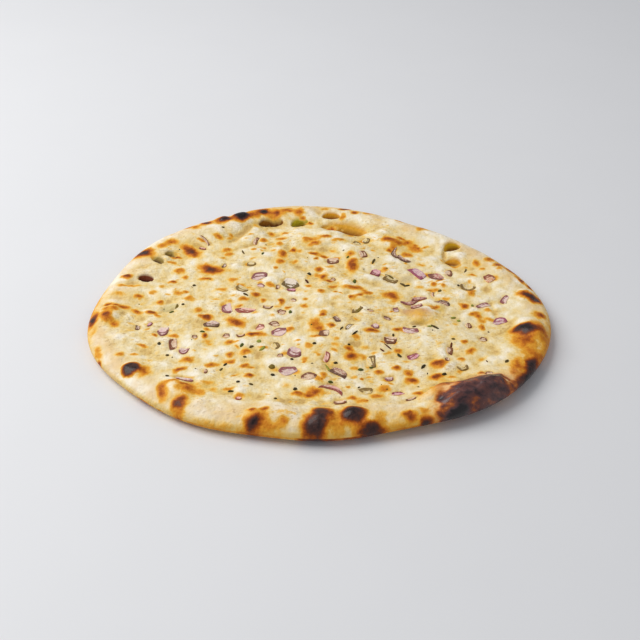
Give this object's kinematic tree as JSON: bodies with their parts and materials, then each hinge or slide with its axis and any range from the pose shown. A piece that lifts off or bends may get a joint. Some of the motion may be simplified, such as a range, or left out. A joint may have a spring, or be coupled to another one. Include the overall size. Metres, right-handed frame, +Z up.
{
  "type": "onion kulcha",
  "caption": "Oval leavened flatbread with a soft puffed rim, charred blisters and chopped red onion pressed into its top.",
  "frame": {"origin": "middle of the bread on the plane of its flat underside", "axes": "+X along the longer axis of the oval, +Y across it, +Z up through the topped face"},
  "size_m": [0.228, 0.1814, 0.0169],
  "materials": {
    "crust": "soft baked dough, satin where oiled, browned and charred in spots",
    "onion": "moist cooked red onion, pale inside with violet edges",
    "herb": "wilted chopped green herb"
  },
  "bodies": {
    "root": {"kulcha_bread": "crust"}
  },
  "joints": []
}
